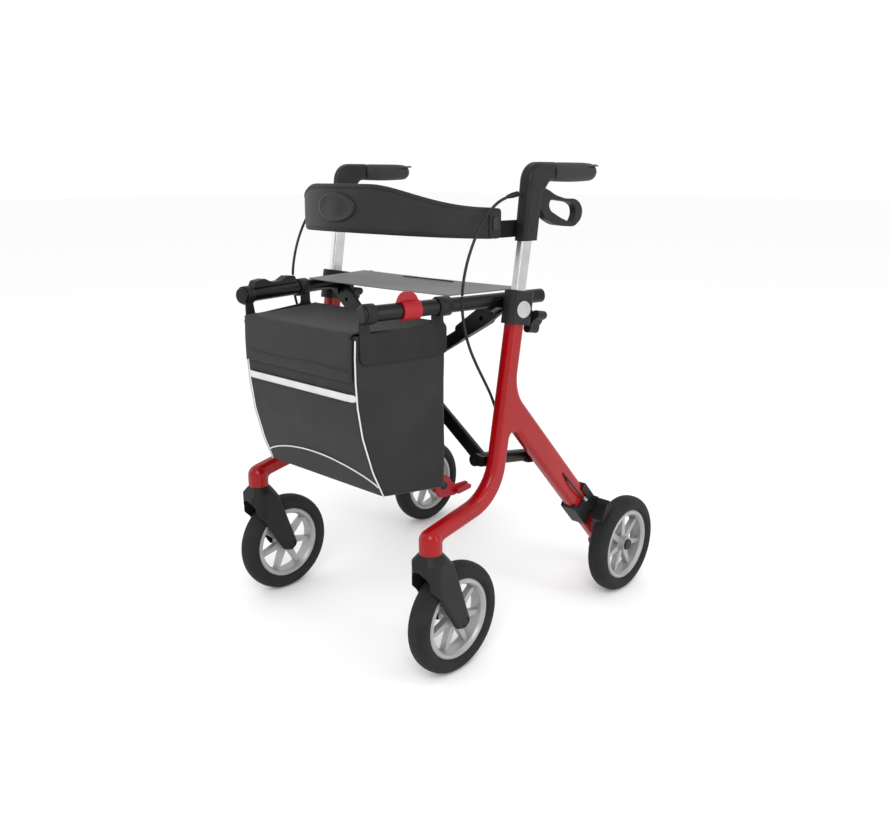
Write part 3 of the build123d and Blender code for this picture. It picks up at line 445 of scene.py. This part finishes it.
def bag_shell():
    """Walls and bottom of the bag: creased rings from the top down, then rings that close on the centre."""
    wall_rows, floor_rows = 36, 6
    verts = []
    for k in range(wall_rows + 1):
        share = k / wall_rows
        z = BAG_TOP - BAG_HEIGHT * k / wall_rows
        for p in bag_ring(z):
            low = z - 12 * share ** 3 * (p.y - BAG_FRONT_LINE[-1][1]) / 131
            out = (Vector((p.x, p.y)) - BAG_MIDDLE).normalized()
            hold = 1 if abs(p.x) < 120 or p.y > -200 else 0.6
            swell = math.sin(math.pi * k / wall_rows) * (bag_relief(p.x, p.y, z, 2.2) - 0.6) * hold
            verts.append(Vector(((p.x + out.x * swell) / 1000, (p.y + out.y * swell) / 1000, low / 1000)))
    count = len(verts) // (wall_rows + 1)
    edge = verts[-count:]
    centre = sum(edge, Vector()) / count
    for r in range(1, floor_rows):
        for corner in edge:
            at = corner.lerp(centre, r / floor_rows)
            at.z -= 0.004 * math.sin(math.pi * r / floor_rows / 2)
            verts.append(at)
    verts.append(centre - Vector((0, 0, 0.004)))
    faces = tube_faces(wall_rows + floor_rows, count, caps=False)
    middle = len(verts) - 1
    last = middle - count
    faces += [(last + i, last + (i + 1) % count, middle) for i in range(count)]
    return verts, faces


bag = piece("shopping_bag", *bag_shell(), "bag_fabric", "bag")
refine(bag, 0.0022)
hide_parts("bag_body")


def front_run(points, lift):
    """Points on the bag's front face, lifted off it."""
    return [Vector((x, bag_front(z) - lift, z)) / 1000 for x, z in points]


# Strip, piping and seam on the bag's front
STRIP_STEPS, STRIP_Z = 28, (488.5, 502.5)
verts = []
for k in range(STRIP_STEPS + 1):
    across = -1 + 2 * k / STRIP_STEPS
    curl = 5.0 * max(0, abs(across) - 0.965) / 0.035
    for z in STRIP_Z:
        half = bag_half(bag_front(z)) - 2.5
        verts += front_run([(across * half, z)], 2.6 - curl)
strip = piece("reflective_strip", verts, grid_faces(STRIP_STEPS, 1), "piping_white", "bag")
refine(strip, 0.0012, 1.0)
bag_trim = [strip]
for name, sign in SIDES:
    edge = []
    for k in range(40):
        z = 590 - 270 * k / 39
        y = bag_front(z)
        edge.append(Vector((sign * (bag_half(y) - 1.2), y + 0.2, z)) / 1000)
    bag_trim.append(piece(f"bag_piping_{name}", *tube_mesh(edge, 0.0014, 8), "piping_white", "bag"))
ARC_HALF = 152
arc = []
for x in range(-ARC_HALF, ARC_HALF + 1, 8):
    arc.append((x, 338 + 34 * max(0, 1 - (x / ARC_HALF) ** 2) ** 0.8))
bag_trim.append(piece("bag_arc_piping", *tube_mesh(front_run(arc, 0.8), 0.0014, 8), "piping_white", "bag"))
seam = front_run([(x, 541 + 1.5 * math.sin(x / 31)) for x in range(-136, 137, 8)], 5.6)
flap_seam = piece("flap_seam", *tube_mesh(seam, 0.0009, 6), "bag_fabric", "bag_lid")

# Lid: a sheet over the opening, with a front flap
LID_COLUMNS, LID_INSET = 34, 7
LID_EDGE_Z = 596
lid_line = [(BAG_REAR_Y - 1 - 179.5 * k / 20, 600.5 - 2.5 * math.sin(math.pi * k / 20)) for k in range(20)]
lid_line += [(-347.0, 600.0), (-349.3, 597.5), (-350.0, 592)]
lid_line += [(bag_front(592 - 7 * k) - 3.4, 592 - 7 * k) for k in range(1, 11)]
verts = []
for y, z in lid_line:
    half = bag_half(max(y, BAG_FRONT_Y)) - LID_INSET
    for k in range(LID_COLUMNS + 1):
        u = -1 + 2 * k / LID_COLUMNS
        crease = 0.8 * noise.noise(Vector((u * 3.2, y * 0.02, z * 0.02)))
        if z > LID_EDGE_Z:
            depth = max(0, min(1, (y - BAG_FRONT_Y) / BAG_DEPTH))
            sag = -4.0 * (1 - u * u) * math.sin(math.pi * depth)
            verts.append(Vector((u * half, y, z + sag + crease)) / 1000)
        else:
            verts.append(Vector((u * half, y + crease * 0.5, z)) / 1000)
lid = piece("bag_lid_cover", verts, grid_faces(len(lid_line) - 1, LID_COLUMNS), "bag_fabric", "bag_lid")
refine(lid, 0.0018, 1.0)
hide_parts("bag_lid")
hems = []
for name, sign in SIDES:
    line = [Vector((sign * (bag_half(max(y, BAG_FRONT_Y)) - LID_INSET), y, z)) / 1000 for y, z in lid_line]
    hems.append(piece(f"lid_hem_{name}", *tube_mesh(line, 0.0017, 8), "bag_fabric", "bag_lid"))
for thing in [bag] + bag_trim + [lid, flap_seam] + hems:
    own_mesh(thing)

# Seat sling, and the stitched edge of its hand slot
SEAT_ROWS, SEAT_COLUMNS = 22, 44
verts = []
for r in range(SEAT_ROWS + 1):
    y = -172 + 172 * r / SEAT_ROWS
    half = 186 + 27 * r / SEAT_ROWS
    for k in range(SEAT_COLUMNS + 1):
        u = -1 + 2 * k / SEAT_COLUMNS
        dip = -1.6 * (1 - u * u) + 0.25 * noise.noise(Vector((u * 4, y * 0.03, 0)))
        verts.append(Vector((u * half, y, 647.2 + dip)) / 1000)
sling = piece("seat_cover", verts, grid_faces(SEAT_ROWS, SEAT_COLUMNS), "seat_fabric", None)
refine(sling, 0.0024, 0.0)
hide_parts("seat_sling")
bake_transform(sling)

SLOT_CORNERS = [(-66, -2.2), (66, -2.2), (66, 2.2), (-66, 2.2)]
SLOT_Y, SLOT_Z = -30, 0.6488
slot = []
for p in rounded_loop(SLOT_CORNERS, [2.1] * 4, [12, 1, 12, 1], 4):
    slot.append(Vector((p.x / 1000, (p.y + SLOT_Y) / 1000, SLOT_Z)))
seat_slot = piece("seat_hand_slot", *tube_mesh(slot + slot[:1], 0.0008, 6), "webbing", None)
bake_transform(seat_slot)

# Backrest: a curved padded band
BACK_HALF, BACK_RISE = 224.0, 160.0
BACK_RADIUS = (BACK_HALF * BACK_HALF + BACK_RISE * BACK_RISE) / (2 * BACK_RISE)
BACK_CENTRE = Vector((0, -247.0 + BACK_RADIUS, 0))
BACK_SWEEP = math.asin(BACK_HALF / BACK_RADIUS)


def back_arc(u):
    """Point and outward direction of the band's middle line, in plan, from right to left."""
    out = Vector((math.sin(u * BACK_SWEEP), -math.cos(u * BACK_SWEEP), 0))
    return BACK_CENTRE + BACK_RADIUS * out, out


def back_edges(x):
    """Lower and upper edge heights of the band at x."""
    s = min(1, abs(x) / BACK_HALF)
    fall = max(0.0, (s - 0.3) / 0.7)
    upper = 826.5 - 2 * s * s - 36 * fall * fall * (3 - 2 * fall)
    lower = 746 - 9 * s * s
    return lower, upper


PAD_SPANS, PAD_LOOPS = 64, 24
verts = []
for k in range(PAD_SPANS + 1):
    u = -1 + 2 * k / PAD_SPANS
    at, out = back_arc(u)
    lower, upper = back_edges(at.x)
    close = min(1, (1 - abs(u)) * 16)
    shrink = math.sqrt(max(0.0, 1 - (1 - close) ** 2)) * 0.3 + 0.7
    middle, tall = (lower + upper) / 2, (upper - lower) / 2 * shrink
    thick = (6.6 - 2.4 * abs(u)) * (0.45 + 0.55 * close)
    for c, s in circle(PAD_LOOPS):
        height = math.copysign(abs(s) ** 0.55, s) * tall
        depth = math.copysign(abs(c) ** 0.75, c) * thick
        pucker = 0.5 * noise.noise(Vector((u * 9, s * 2.5, c)))
        verts.append((at + out * (depth + pucker) + Vector((0, 0, middle + height))) / 1000)
pad = piece("backrest_band", verts, tube_faces(PAD_SPANS + 1, PAD_LOOPS), "backrest_fabric", "handle_left")
refine(pad)
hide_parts("backrest_pad")
back_parts = [pad]
for label, pick, inset in (("upper", 1, -5.5), ("lower", 0, 5.5)):
    line = []
    for k in range(61):
        u = -0.965 + 1.93 * k / 60
        at, out = back_arc(u)
        z = back_edges(at.x)[pick] + inset
        line.append((at + out * (5.6 - 2.2 * abs(u)) + Vector((0, 0, z))) / 1000)
    back_parts.append(piece(f"backrest_seam_{label}", *tube_mesh(line, 0.0009, 8), "backrest_fabric",
                            "handle_left"))

# Blank oval badge: (size, lift) of each ring from its edge inwards
BADGE_RINGS = ((1.0, 6.0), (1.0, 8.6), (0.93, 9.4), (0.88, 8.7), (0.45, 8.9), (0.02, 8.9))
BADGE_SIDES, BADGE_Z = 40, 788
verts = []
for scale, lift in BADGE_RINGS:
    for c, s in circle(BADGE_SIDES):
        at, out = back_arc(40 * scale * c / 262)
        verts.append((at + out * lift + Vector((0, 0, BADGE_Z + 24 * scale * s))) / 1000)
faces = tube_faces(len(BADGE_RINGS), BADGE_SIDES, caps=False)
faces.append(tuple(range(len(verts) - BADGE_SIDES, len(verts))))
badge = piece("blank_badge", verts, faces, "badge", "handle_left")
back_parts.append(badge)


def plate(name, centre, across, outline, thick, mat, body, bevel=0.0008):
    """An upright flat plate from an outline in millimetres, with softened edges."""
    normal = across.cross(UP).normalized()
    count = len(outline)
    verts = []
    for level in (-thick / 2, thick / 2):
        verts += [centre + (across * p.x + UP * p.y) / 1000 + normal * level for p in outline]
    faces = [tuple(range(count)), tuple(range(count, 2 * count))]
    faces += [(i, (i + 1) % count, count + (i + 1) % count, count + i) for i in range(count)]
    return soften(piece(name, verts, faces, mat, body, smooth=False), bevel)


def box_loop(half_x, half_y, radius, steps, arc=6):
    """Rounded rectangle about the origin."""
    corners = [(-half_x, -half_y), (half_x, -half_y), (half_x, half_y), (-half_x, half_y)]
    return rounded_loop(corners, [radius] * 4, [steps] * 4, arc)


# End tabs, buckles and webbing of the backrest
STRAP_HEIGHTS = (0.7385, 0.748, 0.758, 0.7675)
for name, sign in SIDES:
    at, out = back_arc(sign * 0.955)
    across = Vector((-out.y, out.x, 0))
    lower, upper = back_edges(at.x)
    size = (upper - lower) / 2 - 1
    centre = (at + out * 4.6 + Vector((0, 0, (lower + upper) / 2))) / 1000
    back_parts.append(plate(f"backrest_tab_{name}", centre, across, box_loop(11, size, 8, 3), 0.003,
                            "plastic_black", "handle_left"))
    back_parts.append(plate(f"strap_buckle_{name}", centre + out * 0.0022, across, box_loop(5, 11, 3, 2, 3),
                            0.003, "badge", "handle_left"))
    start, _ = back_arc(sign * 0.985)
    line = [start / 1000] + mm([(224.2, -84, 0), (224.6, -66, 0), (224.6, -30, 0)], sign)
    path = spline_points(line, 6)
    verts = [Vector((p.x, p.y, z)) for p in path for z in STRAP_HEIGHTS]
    faces = grid_faces(len(path) - 1, len(STRAP_HEIGHTS) - 1)
    strap = piece(f"backrest_strap_{name}", verts, faces, "webbing", "handle_left")
    refine(strap, 0.0026, 0.0)
    back_parts.append(strap)
    if sign > 0:
        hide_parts("backrest_straps")
for thing in back_parts:
    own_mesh(thing)

# Grips: a swelling body, with a flat thumb wing towards the tip
GRIP_X, GRIP_Z = 240, 845.5
GRIP_STEPS, GRIP_SIDES = 34, 28
WING_STEPS, WING_SIDES = 24, 16
for name, sign in SIDES:
    verts = []
    for k in range(GRIP_STEPS + 1):
        t = k / GRIP_STEPS
        y = 26 + 128 * t
        swell = 14.9 + 1.6 * math.sin(math.pi * min(1, t * 1.15)) ** 0.8
        tip = max(0, (t - 0.88) / 0.12)
        swell *= math.sqrt(max(0.02, 1 - tip * tip * 0.72))
        for i, (c, s) in enumerate(circle(GRIP_SIDES)):
            tall = min(swell, 15.9) if s > 0 else swell * 1.07
            ribbed = 0.16 < t < 0.8 and s < -0.2
            rib = 0.35 * math.sin(2 * math.pi * i / GRIP_SIDES * 9) if ribbed else 0
            verts.append(Vector((sign * GRIP_X + (swell + rib) * c, y, GRIP_Z + (tall + rib) * s)) / 1000)
    grip = piece(f"hand_grip_{name}", verts, tube_faces(GRIP_STEPS + 1, GRIP_SIDES), "grip_rubber",
                 f"handle_{name}")
    refine(grip)
    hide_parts(f"grip_{name}")
    verts = []
    for k in range(WING_STEPS + 1):
        t = k / WING_STEPS
        y = 88 + 78.5 * t
        taper = math.sqrt(max(0.0, 1 - max(0, (t - 0.7) / 0.3) ** 2.2))
        reach = max(15.5 * math.sin(math.pi * min(1, 0.12 + t * 0.62)) * taper, 1.0)
        for c, s in circle(WING_SIDES):
            lift = 852.5 + 4.5 * math.sin(math.pi * t / 2) - 2.2 * c ** 2 * t + 1.7 * s
            verts.append(Vector((sign * GRIP_X + reach * c, y, lift)) / 1000)
    wing = piece(f"thumb_wing_{name}", verts, tube_faces(WING_STEPS + 1, WING_SIDES), "grip_rubber",
                 f"handle_{name}")
    refine(wing)


def disc(name, centre, normal, profile, mat, body, sides=28):
    """A turned part from (distance along its axis, radius) pairs in millimetres."""
    normal = normal.normalized()
    side = normal.orthogonal().normalized()
    top = normal.cross(side)
    verts = []
    for along, radius in profile:
        verts += [centre + (normal * along + (c * side + s * top) * radius) / 1000 for c, s in circle(sides)]
    return soften(piece(name, verts, tube_faces(len(profile), sides), mat, body), 0.0004)


# Hub caps, housing screws and cable boots
CAP_PROFILE = [(-0.5, 11.6), (1.2, 11.6), (2.6, 10.2), (3.2, 7), (3.4, 0.6)]
SCREW_PROFILE = [(0, 3.4), (0.9, 3.4), (1.4, 2.6), (1.0, 1.2), (1.0, 0.2)]
BOOT_PROFILE = [(-10, 4.6), (2, 4.6), (5, 4.3), (10, 3.6), (14, 3.0), (14.5, 2.6)]
for name, sign in SIDES:
    outward = Vector((sign, 0, 0))
    cap = disc(f"hub_cap_{name}", Vector((sign * 0.2987, 0.252, 0.1)), outward, CAP_PROFILE,
               "plastic_black", f"{name}_frame")
    screw = disc(f"housing_screw_{name}", Vector((sign * 0.2535, -0.0376, 0.7509)), outward, SCREW_PROFILE,
                 "black_tube", f"handle_{name}", 18)
    start, second = mm(CABLE_ROUTE[:2], sign)
    boot = disc(f"cable_boot_{name}", start, second - start, BOOT_PROFILE, "plastic_black",
                f"handle_{name}", 18)

# Bag hooks: a plate with two arms on each side, and the rings round the rails
RAIL_FRONT, RAIL_REAR, RAIL_Z = (161, -334), (223.3, 26), 632
RING_SIDES = 36
PLATE = [
    (5, 549), (178, 549), (178, 596), (171, 604), (171, 621), (147, 621), (147, 603), (26, 598),
    (22, 621), (5, 621),
]
PLATE_ROUND = [15, 11, 5, 4, 1, 1, 7, 5, 1, 1]


def hook_ring(y0, y1, bore, sign):
    """A turned ring round a seat rail, from y0 to y1."""
    run = RAIL_REAR[0] - RAIL_FRONT[0], RAIL_REAR[1] - RAIL_FRONT[1]
    side = Vector((sign * run[0], run[1], 0)).normalized().cross(UP)
    profile = [(y0, bore), (y0, 15.4), (y0 + 1, 16.4), (y1 - 1, 16.4), (y1, 15.4), (y1, bore)]
    verts = []
    for y, radius in profile:
        x = sign * (RAIL_FRONT[0] + (y - RAIL_FRONT[1]) / run[1] * run[0])
        at = Vector((x, y, RAIL_Z))
        verts += [(at + radius * (c * side + s * UP)) / 1000 for c, s in circle(RING_SIDES)]
    faces = []
    for row in range(len(profile)):
        for k in range(RING_SIDES):
            a, b = row * RING_SIDES, (row + 1) % len(profile) * RING_SIDES
            following = (k + 1) % RING_SIDES
            faces.append((a + k, a + following, b + following, b + k))
    return verts, faces


for name, sign in SIDES:
    along = Vector((sign * 28, BAG_DEPTH, 0)).normalized()
    outward = Vector((sign * along.y, -sign * along.x, 0))
    plate_at = Vector((sign * 148, BAG_FRONT_Y, 0)) + outward * 2.1
    outline = rounded_loop(PLATE, PLATE_ROUND, [2] * len(PLATE), 5)
    hook = plate(f"bag_hook_plate_{name}", plate_at / 1000, along, outline, 0.0036, "plastic_black", "bag",
                 0.0011)
    if sign > 0:
        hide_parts("bag_hooks")
    else:
        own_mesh(hook)
    for label, y0, y1, bore in (("front", -338.5, -321, 14.9), ("rear", -201, -176.5, 13.4)):
        loop = piece(f"bag_hook_ring_{label}_{name}", *hook_ring(y0, y1, bore, sign), "plastic_black",
                     "brace_b" if sign > 0 else "brace_a")


# Stage
def area_light(name, place, target, size, power):
    """A wide, soft lamp that faces a point."""
    data = bpy.data.lights.new(name, "AREA")
    data.shape = "RECTANGLE"
    data.size = size[0]
    data.size_y = size[1]
    data.energy = power
    lamp = bpy.data.objects.new(name, data)
    SCENE.collection.objects.link(lamp)
    lamp.location = place
    lamp.rotation_euler = (Vector(place) - Vector(target)).to_track_quat("Z", "Y").to_euler()


def stage():
    """Pale floor and soft, wide lights."""
    bpy.ops.mesh.primitive_plane_add(size=60)
    floor = bpy.context.object
    floor.name = "floor"
    mat = bpy.data.materials.new("floor")
    mat.use_nodes = True
    shader = mat.node_tree.nodes["Principled BSDF"]
    shader.inputs["Base Color"].default_value = (0.97, 0.97, 0.97, 1)
    shader.inputs["Roughness"].default_value = 0.9
    floor.data.materials.append(mat)
    floor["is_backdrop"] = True
    world = bpy.data.worlds.new("studio")
    world.use_nodes = True
    sky = world.node_tree.nodes["Background"]
    sky.inputs["Color"].default_value = (1, 1, 1, 1)
    sky.inputs["Strength"].default_value = 1.0
    SCENE.world = world
    area_light("key", (1.8, -2.2, 2.6), (0, 0, 0.4), (1.4, 1.4), 46)
    area_light("fill", (-2.6, -1.4, 1.6), (0, 0, 0.5), (2.0, 2.0), 8)
    area_light("side", (2.6, 0.6, 1.2), (0, 0, 0.5), (0.4, 2.4), 16)


stage()
low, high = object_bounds()
size = {"cad": [list(CAD_BOX[0]), list(CAD_BOX[1])], "visual": [list(low), list(high)]}
